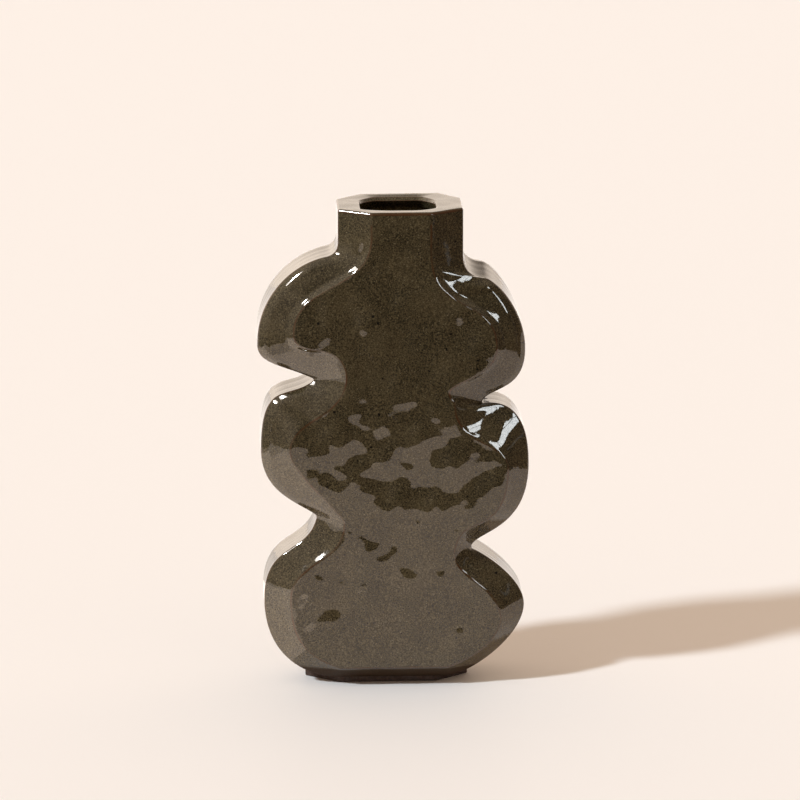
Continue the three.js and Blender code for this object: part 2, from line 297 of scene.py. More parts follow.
def side_path(side, level, bevel):
    """Points from the top of the walls to the bottom, and where each wall strip ends."""
    curves = side_curves(side, level, bevel)
    edges = side_curves(side, "edge", bevel)
    fillet = curves["fillet"]
    top = Vector((fillet[0].x, WALL_TOP))
    path = [top.lerp(fillet[0], t) for t in steps(0.0, 1.0, NECK_STEPS)[:-1]]
    path += [curve_point(fillet, t) for t in steps(0.0, 1.0, FILLET_STEPS)]
    ends = {"neck": (0, len(path) - 1)}
    begin = len(path) - 1
    first_cut = 0.0
    for index, name in enumerate(LOBES):
        over, under = curves[name]
        path += [curve_point(over, t) for t in steps(first_cut, 1.0, LOBE_STEPS)[1:]]
        is_last = index == len(LOBES) - 1
        last_cut = 0.0 if is_last else notch_start(edges[name][1])
        path += [curve_point(under, t) for t in steps(1.0, last_cut, LOBE_STEPS)[1:]]
        if not is_last:
            next_over = curves[LOBES[index + 1]][0]
            first_cut = notch_start(edges[LOBES[index + 1]][0])
            bend = [path[-1], under[0], curve_point(next_over, first_cut)]
            path += [curve_point(bend, t) for t in steps(0.0, 1.0, NOTCH_STEPS)[1:]]
            end = len(path) - 1 - NOTCH_STEPS // 2
        else:
            end = len(path) - 1
        ends[name] = (begin, end)
        begin = end
    return path, ends


def inset(path, distance):
    """A side path moved towards the vase's middle, square to its run, which is level at the bottom."""
    moved = []
    for index, point in enumerate(path):
        if index == len(path) - 1:
            along = Vector((-1.0, 0.0))
        else:
            along = (path[index + 1] - path[max(index - 1, 0)]).normalized()
        moved.append(point + Vector((along.y, -along.x)) * distance)
    return moved


def around(level, bevel, distance=0.0):
    """Both sides in one row, from the right of the neck round the bottom to the left of the neck."""
    right = inset(side_path(RIGHT, level, bevel)[0], distance)
    left = [Vector((-point.x, point.y)) for point in inset(side_path(LEFT, level, bevel)[0], distance)]
    bottom = [right[-1].lerp(left[-1], t) for t in steps(0.0, 1.0, BOTTOM_STEPS)[1:-1]]
    return right + bottom + left[::-1]


def at_depth(point, y):
    """A point of an outline, set at a depth."""
    return Vector((point.x, y, point.y))


def section(edge, flat, face, arris, joint, carve=(0.0, 0.0)):
    """One cut through a face slab: from the flat over its soft edge, bevel and arris to the joint."""
    inward = math.copysign(1.0, arris - face)
    depth, run = abs(arris - face), edge - flat
    falls = bevel_falls(depth, run.length, carve)

    def bevel(share):
        place = share * FALL_STEPS
        low = min(int(place), FALL_STEPS - 1)
        fall = falls[low] + (falls[low + 1] - falls[low]) * (place - low)
        return at_depth(flat + run * share, face + inward * fall)

    length = math.hypot(run.length, depth)
    first, last = CREST / length, 1.0 - ARRIS / length
    corner = bevel(1.0)
    crest_arc = [bevel(0.0) - at_depth(run.normalized() * CREST, 0.0), bevel(0.0), bevel(first)]
    arris_arc = [bevel(last), corner, corner + Vector((0.0, inward * ARRIS_DOWN, 0.0))]
    points = [curve_point(crest_arc, t) for t in steps(0.0, 1.0, CREST_STEPS)]
    points += [bevel(share) for share in steps(first, last, BEVEL_STEPS)[1:-1]]
    points += [curve_point(arris_arc, t) for t in steps(0.0, 1.0, ARRIS_STEPS)]
    points.append(at_depth(edge, joint))
    return points


def bevel_falls(depth, width, carve):
    """Depths of the carved bevel at even steps, cut steeper beside the flat and beside the arris."""
    near, far = FACET
    reach = (near + far) / 2.0
    by_flat, by_arris = carve
    cut = min(reach * (by_flat + by_arris), FACET_LIMIT * width)
    slope = max((depth - FACET_SLOPE * cut) / (width - cut), 0.0)
    slopes = []
    for share in steps(0.0, 1.0, FALL_STEPS):
        at_flat = by_flat * (1.0 - smooth(near, far, share * width))
        at_arris = by_arris * (1.0 - smooth(near, far, (1.0 - share) * width))
        steep = min(at_flat + at_arris, 1.0)
        slopes.append(slope + (FACET_SLOPE - slope) * steep)
    falls = [0.0]
    for before, after in zip(slopes, slopes[1:]):
        falls.append(falls[-1] + (before + after) / 2.0)
    return [fall * depth / falls[-1] for fall in falls]


def cuts_around(side):
    """For each point of a side's path, its bevel's share of each steep cut and its ripples' lift."""
    plain, neck = (0.0, 0.0), side["neck"]["carve"]
    cuts = [(plain, 0.0)] * NECK_STEPS
    for t in steps(0.0, 1.0, FILLET_STEPS):
        carve = blend(plain, neck, smooth(0.0, 1.0, t))
        cuts.append((carve, ripple_lift(side["upper"], FILLET_SHARE * (t - 1.0))))
    above = neck
    for index, name in enumerate(LOBES):
        lobe = side[name]
        for t in steps(0.0, 1.0, LOBE_STEPS)[1:]:
            cuts.append((blend(above, lobe["carve"], smooth(*CARVE_RISE, t)), ripple_lift(lobe, t)))
        for t in steps(1.0, 0.0, LOBE_STEPS)[1:]:
            cuts.append((blend(plain, lobe["carve"], smooth(*CARVE_FALL, t)), 0.0))
        if index < len(LOBES) - 1:
            cuts += [(plain, 0.0)] * NOTCH_STEPS
        above = plain
    return cuts


def ripple_lift(lobe, t):
    """How far the ripples of a lobe's hand-cut bevel lift it at a share of its upper run."""
    total = 0.0
    for height, middle, span in lobe.get("ripples", []):
        turn = (t - middle) / span
        total -= height * math.sin(math.tau * turn) * math.exp(-(turn / RIPPLE_FADE) ** 2)
    return total


def blend(first, second, share):
    return tuple(a + (b - a) * share for a, b in zip(first, second))


def smooth(low, high, value):
    """Zero up to low, one from high on, and a smooth rise between them."""
    t = min(max((value - low) / (high - low), 0.0), 1.0)
    return t * t * (3.0 - 2.0 * t)


def face_wave(point):
    """How deep the hand-worked face lies under its plane at a point, never above it."""
    depth = FACE_SINK
    for wave in FACE_WAVES:
        across, deep, up = wave["spans"]
        start_across, start_up = wave["start"]
        place = Vector((point.x / across + start_across, point.y / deep, point.z / up + start_up))
        depth += wave["height"] * noise.noise(place)
    return max(depth, 0.0) * smooth(0.0, SEAM_FADE, WALL_TOP - point.z)


def row_share(row):
    """The share of the face's unevenness that a row of a section keeps, down to none at the arris."""
    across_bevel = (row - CREST_STEPS) / BEVEL_STEPS
    return 1.0 - min(max(across_bevel, 0.0), 1.0)


def row_break(row):
    """How thin the glaze runs at a row of a section: on the soft edge, and more on the arris."""
    arris_row = CREST_STEPS + BEVEL_STEPS + ARRIS_STEPS / 2
    crest_row = CREST_STEPS / 2
    on_crest = max(0.0, 1.0 - abs(row - crest_row) / CREST_FADE)
    on_arris = max(0.0, 1.0 - abs(row - arris_row) / ARRIS_FADE)
    return max(CREST_THIN * on_crest, on_arris)


def grid_inside(outline):
    """Points of a triangular grid that lie inside an outline and clear of it."""
    corners = np.array([(point.x, point.y) for point in outline])
    low, high = corners.min(axis=0), corners.max(axis=0)
    points = []
    row_height = GRID * math.sqrt(3.0) / 2.0
    for row in range(int((high[1] - low[1]) / row_height) + 1):
        shift = GRID / 2.0 if row % 2 else 0.0
        for column in range(int((high[0] - low[0]) / GRID) + 1):
            points.append((low[0] + shift + column * GRID, low[1] + row * row_height))
    points = np.array(points)
    following = np.roll(corners, -1, axis=0)
    inside = np.zeros(len(points), dtype=bool)
    nearest = np.full(len(points), np.inf)
    for start, end in zip(corners, following):
        crosses = (start[1] > points[:, 1]) != (end[1] > points[:, 1])
        rise = end[1] - start[1]
        if rise:
            meets = (end[0] - start[0]) * (points[:, 1] - start[1]) / rise + start[0]
            inside ^= crosses & (points[:, 0] < meets)
        nearest = np.minimum(nearest, np.hypot(*(points - start).T))
    return [Vector(point) for point in points[inside & (nearest > GRID_CLEAR)]]


def fill(outline, with_grid):
    """Triangles that fill an outline: the points added inside it, and corners counted on from it."""
    added = grid_inside(outline) if with_grid else []
    count = len(outline)
    rim = [(index, (index + 1) % count) for index in range(count)]
    loop = [list(range(count))]
    made = geometry.delaunay_2d_cdt(list(outline) + added, rim, loop, FILL_INSIDE, FILL_NEAR)
    _, _, triangles, sources, _, _ = made
    origins = [source[0] for source in sources]
    return added, [[origins[corner] for corner in face] for face in triangles]


def add_piece(name, points, faces, material, breaks=None):
    """A closed mesh that rides on the vase's one body and keeps where the glaze runs thin."""
    mesh = bpy.data.meshes.new(name)
    mesh.from_pydata([tuple(point * MM) for point in points], [], faces)
    shape = bmesh.new()
    shape.from_mesh(mesh)
    bmesh.ops.recalc_face_normals(shape, faces=shape.faces)
    for face in shape.faces:
        face.smooth = True
    for edge in shape.edges:
        edge.smooth = edge.calc_face_angle(0.0) < SHARP
    shape.to_mesh(mesh)
    shape.free()
    thin = mesh.attributes.new("thin_glaze", "FLOAT", "POINT")
    thin.data.foreach_set("value", breaks if breaks else [0.0] * len(points))
    mesh.materials.append(material)
    piece = bpy.data.objects.new(name, mesh)
    bpy.context.scene.collection.objects.link(piece)
    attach(piece, "root")
    return piece


def band(first, second, count, closed=False):
    """Faces between two rows of points that start at two indices."""
    faces = []
    for index in range(count if closed else count - 1):
        following = (index + 1) % count
        faces.append([first + index, first + following, second + following, second + index])
    return faces


def add_face_slab(name, node, bevel, face, arris, joint, material):
    """A face slab, closed all round: the worked face, its bevel and arris, and the hollow behind."""
    edge, flat = around("edge", bevel), around("flat", bevel)
    bottom = [((0.0, 0.0), 0.0)] * (BOTTOM_STEPS - 1)
    carves, lifts = zip(*(cuts_around(RIGHT) + bottom + cuts_around(LEFT)[::-1]))
    cuts = [section(*pair, face, arris, joint, carve) for *pair, carve in zip(edge, flat, carves)]
    inward = math.copysign(1.0, arris - face)
    count = len(cuts)
    rows = len(cuts[0])
    points, breaks = [], []
    for row in range(rows):
        ripple_share = min(row / CREST_STEPS, 1.0) if row < rows - 1 else 0.0
        for cut, raised in zip(cuts, lifts):
            point = cut[row]
            sunk = face_wave(point) * row_share(row) - raised * ripple_share
            points.append(point + Vector((0.0, inward * sunk, 0.0)))
            breaks.append(row_break(row))
    hollow_face = face + inward * SLAB_WALL
    joint_row = [at_depth(point, joint) for point in around("edge", bevel, STRIP_WALL)]
    hollow_row = [at_depth(point, hollow_face) for point in around("flat", bevel, HOLLOW_EASE)]
    points += joint_row + hollow_row
    breaks += [0.0] * (2 * count)
    faces = []
    for row in range(rows + 1):
        faces += band(row * count, (row + 1) * count, count)
    rim = [row * count for row in range(rows + 2)]
    rim += [row * count + count - 1 for row in reversed(range(rows + 2))]
    faces.append(rim)
    for first, with_grid in ((0, True), ((rows + 1) * count, False)):
        outline = [Vector((point.x, point.z)) for point in points[first:first + count]]
        added, triangles = fill(outline, with_grid)
        start = len(points)
        for spot in added:
            flat_point = at_depth(spot, face)
            points.append(flat_point + Vector((0.0, inward * face_wave(flat_point), 0.0)))
            breaks.append(0.0)
        faces += [[first + c if c < count else start + c - count for c in corners] for corners in triangles]
    piece = add_piece(name, points, faces, material, breaks)
    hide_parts(node)


def add_strip(name, node, side, part, material):
    """A wall strip between the two slabs, with faint pale and dark waves along it."""
    front, ends = side_path(side, "edge", "front_bevel")
    back, _ = side_path(side, "edge", "back_bevel")
    inner_front, inner_back = inset(front, STRIP_WALL), inset(back, STRIP_WALL)
    first, last = ends[part]
    count = last - first + 1
    along_span, deep_span = STRIP_WAVE["along"], STRIP_WAVE["deep"]
    depths = steps(FRONT_JOINT, BACK_JOINT, STRIP_STEPS)
    points = []
    for depth in depths:
        fade = smooth(0.0, STRIP_FADE, min(depth - FRONT_JOINT, BACK_JOINT - depth))
        share = (depth - FRONT_JOINT) / (BACK_JOINT - FRONT_JOINT)
        for index in range(first, last + 1):
            outer = front[index].lerp(back[index], share)
            inner = inner_front[index].lerp(inner_back[index], share)
            place = Vector((outer.x / along_span, depth / deep_span, outer.y / along_span))
            sunk = STRIP_WAVE["height"] * fade * (1.0 + noise.noise(place))
            spot = outer.lerp(inner, sunk / STRIP_WALL)
            points.append(Vector((side["out"] * spot.x, depth, spot.y)))
    for depth, inner in ((BACK_JOINT, inner_back), (FRONT_JOINT, inner_front)):
        points += [Vector((side["out"] * spot.x, depth, spot.y)) for spot in inner[first:last + 1]]
    rows = len(depths) + 2
    faces = []
    for row in range(rows):
        faces += band(row * count, ((row + 1) % rows) * count, count)
    for end in (0, count - 1):
        faces.append([row * count + end for row in range(rows)])
    piece = add_piece(name, points, faces, material)
    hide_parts(node)


def neck_plan():
    """The neck's outline seen from above, from the left of the front flat all the way round."""
    half_plans = []
    for side in (RIGHT, LEFT):
        half = []
        for bevel, face, arris, joint in (
            ("front_bevel", FRONT_FACE, FRONT_ARRIS, FRONT_JOINT),
            ("back_bevel", BACK_FACE, BACK_ARRIS, BACK_JOINT),
        ):
            edge = Vector((side["neck"]["reach"], WALL_TOP))
            flat = Vector((edge.x - side["neck"][bevel], WALL_TOP))
            cut = section(edge, flat, face, arris, joint)
            half.append([Vector((side["out"] * point.x, point.y)) for point in cut])
        front, back = half
        wall = [front[-1].lerp(back[-1], t) for t in steps(0.0, 1.0, STRIP_STEPS)[1:-1]]
        half_plans.append(front + wall + back[::-1])
    right, left = half_plans
    front_flat = [left[0].lerp(right[0], t) for t in steps(0.0, 1.0, BOTTOM_STEPS)[1:-1]]
    back_flat = [right[-1].lerp(left[-1], t) for t in steps(0.0, 1.0, BOTTOM_STEPS)[1:-1]]
    return front_flat + right + back_flat + left[::-1]


def inset_loop(loop, distance):
    """A closed loop moved inwards, square to its run."""
    moved = []
    for index, point in enumerate(loop):
        along = (loop[(index + 1) % len(loop)] - loop[index - 1]).normalized()
        moved.append(point + Vector((-along.y, along.x)) * distance)
    return moved


def at_back(sine):
    """One at the back of the mouth and none at its front and sides, from the sine of a bearing."""
    return smooth(*MOUTH_BACK_SINES, sine)


def mouth_loop(middle, bearings, ease):
    """The mouth at each bearing from its middle: a long plan with four unlike cut corners, softened."""
    reach = {"left": MOUTH_LEFT, "right": MOUTH_RIGHT, "front": MOUTH_FRONT, "back": MOUTH_BACK}
    way = {"left": -1.0, "right": 1.0, "front": -1.0, "back": 1.0}
    walls = [(Vector((way[end], 0.0)), reach[end]) for end in ("left", "right")]
    walls += [(Vector((0.0, way[edge])), reach[edge]) for edge in ("front", "back")]
    for corner, (length, depth) in MOUTH_CORNERS.items():
        edge, end = corner.split("_")
        out = Vector((way[end] * depth, way[edge] * length)).normalized()
        walls.append((out, out.dot(Vector((way[end] * reach[end], way[edge] * (reach[edge] - depth))))))
    loop = []
    for bearing in bearings:
        ray = Vector((math.cos(bearing), math.sin(bearing)))
        share = LIP_FRONT_SHARE + (1.0 - LIP_FRONT_SHARE) * at_back(ray.y)
        inset_by = ease * share if ease > 0.0 else ease
        pulls = [max(out.dot(ray), 0.0) / (limit - inset_by) for out, limit in walls]
        radius = sum(pull ** MOUTH_SOFTNESS for pull in pulls) ** (-1.0 / MOUTH_SOFTNESS)
        loop.append(middle + ray * radius)
    return loop


def add_mouth_plate(name, node, material):
    """The plate on the neck in rows from its outer wall over the rim and the lip into the throat."""
    plan = neck_plan()
    count = len(plan)
    middle = Vector(((RIGHT["neck"]["reach"] - LEFT["neck"]["reach"]) / 2 + MOUTH_SHIFT, 0.0))
    bearings = [math.atan2(point.y - middle.y, point.x - middle.x) for point in plan]
    rows = [(plan, WALL_TOP, 0.0, 0.0), (plan, RIM - RIM_WALL * RIM_ROUND, 0.0, 0.0)]
    for t in steps(0.0, 1.0, ARRIS_STEPS):
        angle = t * math.pi / 2
        eased = inset_loop(plan, RIM_ROUND * (1.0 - math.cos(angle)))
        rows.append((eased, RIM - RIM_ROUND * (1.0 - math.sin(angle)), 0.0, math.cos(angle)))
    outer = inset_loop(plan, RIM_ROUND)
    lip = mouth_loop(middle, bearings, -LIP_ROUND)
    for t in steps(0.0, 1.0, RIM_STEPS)[1:-1]:
        rows.append(([a.lerp(b, t) for a, b in zip(outer, lip)], RIM, t * t, 0.0))
    lip_length = math.hypot(LIP_BEVEL, LIP_DROP)
    for t in steps(0.0, 1.0, ARRIS_STEPS):
        ease = -LIP_ROUND * (1.0 - t) ** 2 + LIP_BEVEL / lip_length * LIP_ROUND * t * t
        drop = LIP_DROP / lip_length * LIP_ROUND * t * t
        rows.append((mouth_loop(middle, bearings, ease), RIM - drop, 1.0, LIP_THIN * math.sin(math.pi * t)))
    for inwards, down, thin in LIP_EDGE:
        rows.append((mouth_loop(middle, bearings, inwards * LIP_BEVEL), RIM - down * LIP_DROP, 1.0, thin))
    rows.append((mouth_loop(middle, bearings, -THROAT_FLARE), WALL_TOP, 0.0, 0.0))
    points, breaks = [], []
    for loop, height, fall, thin in rows:
        for spot, bearing in zip(loop, bearings):
            sink = RIM_FALL * fall * at_back(math.sin(bearing))
            if height >= RIM - RIM_ROUND:
                place = at_depth(spot / LIP_WAVE["span"], 0.0)
                sink += LIP_WAVE["height"] * (1.0 + noise.noise(place))
            points.append(Vector((spot.x, spot.y, height - sink)))
            breaks.append(thin)
    faces = []
    for row in range(len(rows)):
        faces += band(row * count, ((row + 1) % len(rows)) * count, count, closed=True)
    piece = add_piece(name, points, faces, material, breaks)
    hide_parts(node)


class Nodes:
    """Short names for making and joining the nodes of one tree, which is emptied first."""

    def __init__(self, tree):
        self.tree = tree
        tree.nodes.clear()

    def make(self, kind, **settings):
        node = self.tree.nodes.new(kind)
        for key, value in settings.items():
            setattr(node, key, value)
        return node

    def join(self, source, target):
        self.tree.links.new(source, target)

    def math(self, operation, first, second=None, third=None, clamp=False):
        node = self.make("ShaderNodeMath", operation=operation, use_clamp=clamp)
        for socket, value in zip(node.inputs, (first, second, third)):
            if value is None:
                continue
            if isinstance(value, (int, float)):
                socket.default_value = value
            else:
                self.join(value, socket)
        return node.outputs[0]

    def ramp(self, value, low, high, to_low=0.0, to_high=1.0):
        node = self.make("ShaderNodeMapRange", interpolation_type="SMOOTHSTEP")
        self.join(value, node.inputs["Value"])
        for key, number in (("From Min", low), ("From Max", high), ("To Min", to_low), ("To Max", to_high)):
            node.inputs[key].default_value = number
        return node.outputs["Result"]

    def mix(self, share, first, second):
        node = self.make("ShaderNodeMix", data_type="RGBA")
        colour_a, colour_b = node.inputs[6], node.inputs[7]
        for socket, value in ((node.inputs[0], share), (colour_a, first), (colour_b, second)):
            if isinstance(value, (int, float)):
                socket.default_value = value
            elif isinstance(value, tuple):
                socket.default_value = (*value, 1.0)
            else:
                self.join(value, socket)
        return node.outputs[2]

    def noise(self, place, scale, detail=2.0, roughness=0.5):
        node = self.make("ShaderNodeTexNoise")
        self.join(place, node.inputs["Vector"])
        node.inputs["Scale"].default_value = scale
        node.inputs["Detail"].default_value = detail
        node.inputs["Roughness"].default_value = roughness
        return node.outputs["Fac"]


# Colours of the glaze and the clay, as linear light
GLAZE_DARK = (0.026, 0.0195, 0.009)
GLAZE_LIGHT = (0.125, 0.093, 0.048)
GLAZE_RUST = (0.075, 0.030, 0.011)
GLAZE_SHEEN = (1.0, 0.92, 0.85)
FOOT_BROWN = (0.040, 0.020, 0.010)
CLAY_DARK = (0.032, 0.016, 0.010)
CLAY_LIGHT = (0.085, 0.045, 0.028)

# Patterns of the finishes and of the painted shading: scales in cells to the metre, bands in metres of
# height, pairs from start to full
GRAIN_SCALE = 1400.0
GRAIN_ENDS = (0.37, 0.70)
GRAIN_SHEEN = (0.44, 0.57)
CLOUD_SCALE = 60.0
CLOUD_ENDS = (0.3, 0.7)
CLOUD_RANGE = (-0.12, 0.12)
TAN_SPECKS = {
    "colour": (0.17, 0.135, 0.08), "scale": 760.0, "radius": (0.28, 0.12),
    "clumps": 600.0, "picked": (0.46, 0.60),
}
BLACK_SPECKS = {
    "colour": (0.004, 0.003, 0.002), "scale": 230.0, "radius": (0.19, 0.12),
    "clumps": 110.0, "picked": (0.60, 0.66),
}
RUST_SCALE = 90.0
RUST_ENDS = (0.35, 0.65)
RUST_RANGE = (0.35, 0.95)
RUST_THIN = (0.2, 0.8)
FOOT_BAND = (0.0105, 0.0080)
FOOT_BROWNED = 0.85
FOOT_ROUGH = 0.5
FOOT_SHEEN = 0.16
# painted shading: the glaze's colour is darkened low on the vase and lightened near the top, in place of
# light
PAINTED_SHADING_BAND = (0.15, 0.225)
PAINTED_SHADING_RANGE = (0.90, 1.08)
GLAZE_IOR = 1.75
POLISH_SCALE = 700.0
POLISH_ENDS = (0.3, 0.75)
POLISH_RANGE = (0.02, 0.06)
GLAZE_BUMP = {"scale": 420.0, "detail": 2.0, "strength": 0.06, "distance": 0.0003}
CLAY_SCALE = 900.0
CLAY_ENDS = (0.3, 0.72)
CLAY_ROUGH_SCALE = 500.0
CLAY_ROUGH_ENDS = (0.3, 0.7)
CLAY_ROUGH_RANGE = (0.7, 0.95)
CLAY_BUMP = {"scale": 1200.0, "detail": 3.0, "strength": 0.3, "distance": 0.0004}


def new_material(name):
    """A material, its emptied tree and the shader on its output."""
    material = bpy.data.materials.new(name)
    material.use_nodes = True
    tree = Nodes(material.node_tree)
    shader = tree.make("ShaderNodeBsdfPrincipled")
    tree.join(shader.outputs["BSDF"], tree.make("ShaderNodeOutputMaterial").inputs["Surface"])
    return material, tree, shader


def add_specks(tree, place, colour, kind):
    """Round specks of one kind over a colour, only in the clumps that a noise picks."""
    cells = tree.make("ShaderNodeTexVoronoi")
    tree.join(place, cells.inputs["Vector"])
    cells.inputs["Scale"].default_value = kind["scale"]
    dots = tree.ramp(cells.outputs["Distance"], *kind["radius"])
    picked = tree.ramp(tree.noise(place, kind["clumps"], detail=1.0), *kind["picked"])
    return tree.mix(tree.math("MULTIPLY", dots, picked), colour, kind["colour"])


def add_bump(tree, place, shader, kind):
    bump = tree.make("ShaderNodeBump")
    bump.inputs["Strength"].default_value = kind["strength"]
    bump.inputs["Distance"].default_value = kind["distance"]
    tree.join(tree.noise(place, kind["scale"], kind["detail"]), bump.inputs["Height"])
    tree.join(bump.outputs["Normal"], shader.inputs["Normal"])


def glaze_material():
    """A glossy olive glaze with a fine grain and specks, rusty where thin and matt brown by the foot, with
    painted shading that makes it darker low on the vase and lighter near the top.
    """
    material, tree, shader = new_material("glaze_olive")
    place = tree.make("ShaderNodeTexCoord").outputs["Object"]
    height = tree.make("ShaderNodeSeparateXYZ")
    tree.join(place, height.inputs[0])
    near_foot = tree.ramp(height.outputs["Z"], *FOOT_BAND)

    grain = tree.ramp(tree.noise(place, GRAIN_SCALE, detail=3.0, roughness=0.75), *GRAIN_ENDS)
    cloud = tree.ramp(tree.noise(place, CLOUD_SCALE, detail=3.0), *CLOUD_ENDS, *CLOUD_RANGE)
    colour = tree.mix(tree.math("ADD", grain, cloud, clamp=True), GLAZE_DARK, GLAZE_LIGHT)
    for kind in (TAN_SPECKS, BLACK_SPECKS):
        colour = add_specks(tree, place, colour, kind)
    thin = tree.make("ShaderNodeAttribute", attribute_name="thin_glaze").outputs["Fac"]
    patchy = tree.ramp(tree.noise(place, RUST_SCALE, detail=3.0, roughness=0.6), *RUST_ENDS, *RUST_RANGE)
    colour = tree.mix(tree.math("MULTIPLY", tree.ramp(thin, *RUST_THIN), patchy), colour, GLAZE_RUST)
    colour = tree.mix(tree.math("MULTIPLY", near_foot, FOOT_BROWNED), colour, FOOT_BROWN)
    # painted shading: the colour is scaled darker low on the vase and lighter near the top
    painted_shading = tree.make("ShaderNodeVectorMath", operation="SCALE")
    tree.join(colour, painted_shading.inputs[0])
    tree.join(tree.ramp(height.outputs["Z"], *PAINTED_SHADING_BAND, *PAINTED_SHADING_RANGE), painted_shading.inputs["Scale"])
    tree.join(painted_shading.outputs[0], shader.inputs["Base Color"])

    shader.inputs["IOR"].default_value = GLAZE_IOR
    shader.inputs["Specular Tint"].default_value = (*GLAZE_SHEEN, 1.0)
    polish = tree.ramp(tree.noise(place, POLISH_SCALE), *POLISH_ENDS, *POLISH_RANGE)
    tree.join(tree.math("MULTIPLY_ADD", near_foot, FOOT_ROUGH, polish), shader.inputs["Roughness"])
    on_grain = tree.ramp(grain, 0.0, 1.0, *GRAIN_SHEEN)
    off_foot = tree.ramp(near_foot, 0.0, 1.0, 1.0, FOOT_SHEEN)
    tree.join(tree.math("MULTIPLY", on_grain, off_foot), shader.inputs["Specular IOR Level"])
    add_bump(tree, place, shader, GLAZE_BUMP)
    return material


def clay_material():
    """The bare clay of the foot: brown, grainy and matt."""
    material, tree, shader = new_material("bare_clay")
    place = tree.make("ShaderNodeTexCoord").outputs["Object"]
    grain = tree.ramp(tree.noise(place, CLAY_SCALE, detail=4.0, roughness=0.7), *CLAY_ENDS)
    tree.join(tree.mix(grain, CLAY_DARK, CLAY_LIGHT), shader.inputs["Base Color"])
    rough = tree.ramp(tree.noise(place, CLAY_ROUGH_SCALE), *CLAY_ROUGH_ENDS, *CLAY_ROUGH_RANGE)
    tree.join(rough, shader.inputs["Roughness"])
    add_bump(tree, place, shader, CLAY_BUMP)
    return material


def add_foot(name, node, material):
    """A flat foot with cut corners and worn edges, shorter at the right than at the left."""
    top, low = FOOT_HIGH.z / MM, 0.0
    plan = []
    for across, deep in ((1, -1), (1, 1), (-1, 1), (-1, -1)):
        end = FOOT_RIGHT if across > 0 else -FOOT_LEFT
        edge = (FOOT_LOW.y if deep < 0 else FOOT_HIGH.y) / MM
        cut_long, cut_deep = FOOT_CUT_FRONT if deep < 0 else FOOT_CUT_BACK
        pair = [Vector((end - across * cut_long, edge)), Vector((end, edge - deep * cut_deep))]
        plan += pair if across * deep < 0 else pair[::-1]
    rows = [(inset_loop(plan, ease), height) for ease, height in (
        (FOOT_WEAR, low), (0.0, low + FOOT_WEAR), (0.0, top - FOOT_WEAR), (FOOT_WEAR, top),
    )]
    count = len(plan)
    points = [Vector((spot.x, spot.y, height)) for loop, height in rows for spot in loop]
    faces = [list(range(count)), list(range((len(rows) - 1) * count, len(rows) * count))]
    for row in range(len(rows) - 1):
        faces += band(row * count, (row + 1) * count, count, closed=True)
    piece = add_piece(name, points, faces, material)
    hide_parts(node)


# The camera: a long lens a little left of the front and above, with the vase low in a square frame
VIEW_YAW = math.radians(2.8)
VIEW_RISE = math.radians(15.76)
VIEW_DISTANCE = 3.0
VIEW_TARGET = Vector((0.0006, 0.0, 0.120))
VIEW_RIGHT = 0.00318   # how far right of the target the camera aims
VIEW_UP = 0.0201       # and how far above it
VIEW_LENS = 275.6
VIEW_END = 50.0


def add_camera():
    level = math.cos(VIEW_RISE)
    back = Vector((-math.sin(VIEW_YAW) * level, -math.cos(VIEW_YAW) * level, math.sin(VIEW_RISE)))
    right = Vector((math.cos(VIEW_YAW), -math.sin(VIEW_YAW), 0.0))
    up = back.cross(right)
    camera_data = bpy.data.cameras.new("camera")
    camera = bpy.data.objects.new("camera", camera_data)
    camera.location = VIEW_TARGET + back * VIEW_DISTANCE
    aim = VIEW_TARGET + right * VIEW_RIGHT + up * VIEW_UP
    camera.rotation_euler = (aim - camera.location).to_track_quat("-Z", "Y").to_euler()
    camera_data.lens = VIEW_LENS
    camera_data.clip_end = VIEW_END
    bpy.context.scene.collection.objects.link(camera)
    bpy.context.scene.camera = camera


# The floor: a pale sheet under and behind the vase that the glaze mirrors, and more floor around it
SHEET_FRONT = (-0.44, -0.345)   # at its left and at its right end
SHEET_LEFT = (-0.60, -0.42)     # at its front and at its back end
SHEET_RIGHT = 0.45
SHEET_SIDES_END = -0.06         # the depth behind which the sheet is as wide as the floor
FLOOR_REACH = 3.0
FLOOR_BACK = 4.0
FLOOR_DROP = 0.0001            # how far under the sheet the rest lies
FLOOR_COLOUR = (0.95, 0.885, 0.84)
FLOOR_ROUGH = 0.6
FLOOR_SHEEN = 0.2
FLOOR_GLOW = 0.4               # painted light: how strongly the floor behind the vase glows, so that the glaze sees it paler
FLOOR_GLOW_FROM = (0.1, 0.5)   # the depths between which that sets in


def floor_material():
    """A pale matt floor that glows behind the vase where only the glaze's reflections see it, painted light
    that the glaze sees as a paler floor.
    """
    material, tree, shader = new_material("floor")
    shader.inputs["Base Color"].default_value = (*FLOOR_COLOUR, 1.0)
    shader.inputs["Roughness"].default_value = FLOOR_ROUGH
    shader.inputs["Specular IOR Level"].default_value = FLOOR_SHEEN
    shader.inputs["Emission Color"].default_value = (*FLOOR_COLOUR, 1.0)
    place = tree.make("ShaderNodeSeparateXYZ")
    tree.join(tree.make("ShaderNodeNewGeometry").outputs["Position"], place.inputs[0])
    mirrored = tree.make("ShaderNodeLightPath").outputs["Is Glossy Ray"]
    # painted light: the floor glows behind the vase, and only glossy rays see the glow
    pale = tree.math("MULTIPLY", tree.ramp(place.outputs["Y"], *FLOOR_GLOW_FROM), FLOOR_GLOW)
    tree.join(tree.math("MULTIPLY", mirrored, pale), shader.inputs["Emission Strength"])
    return material


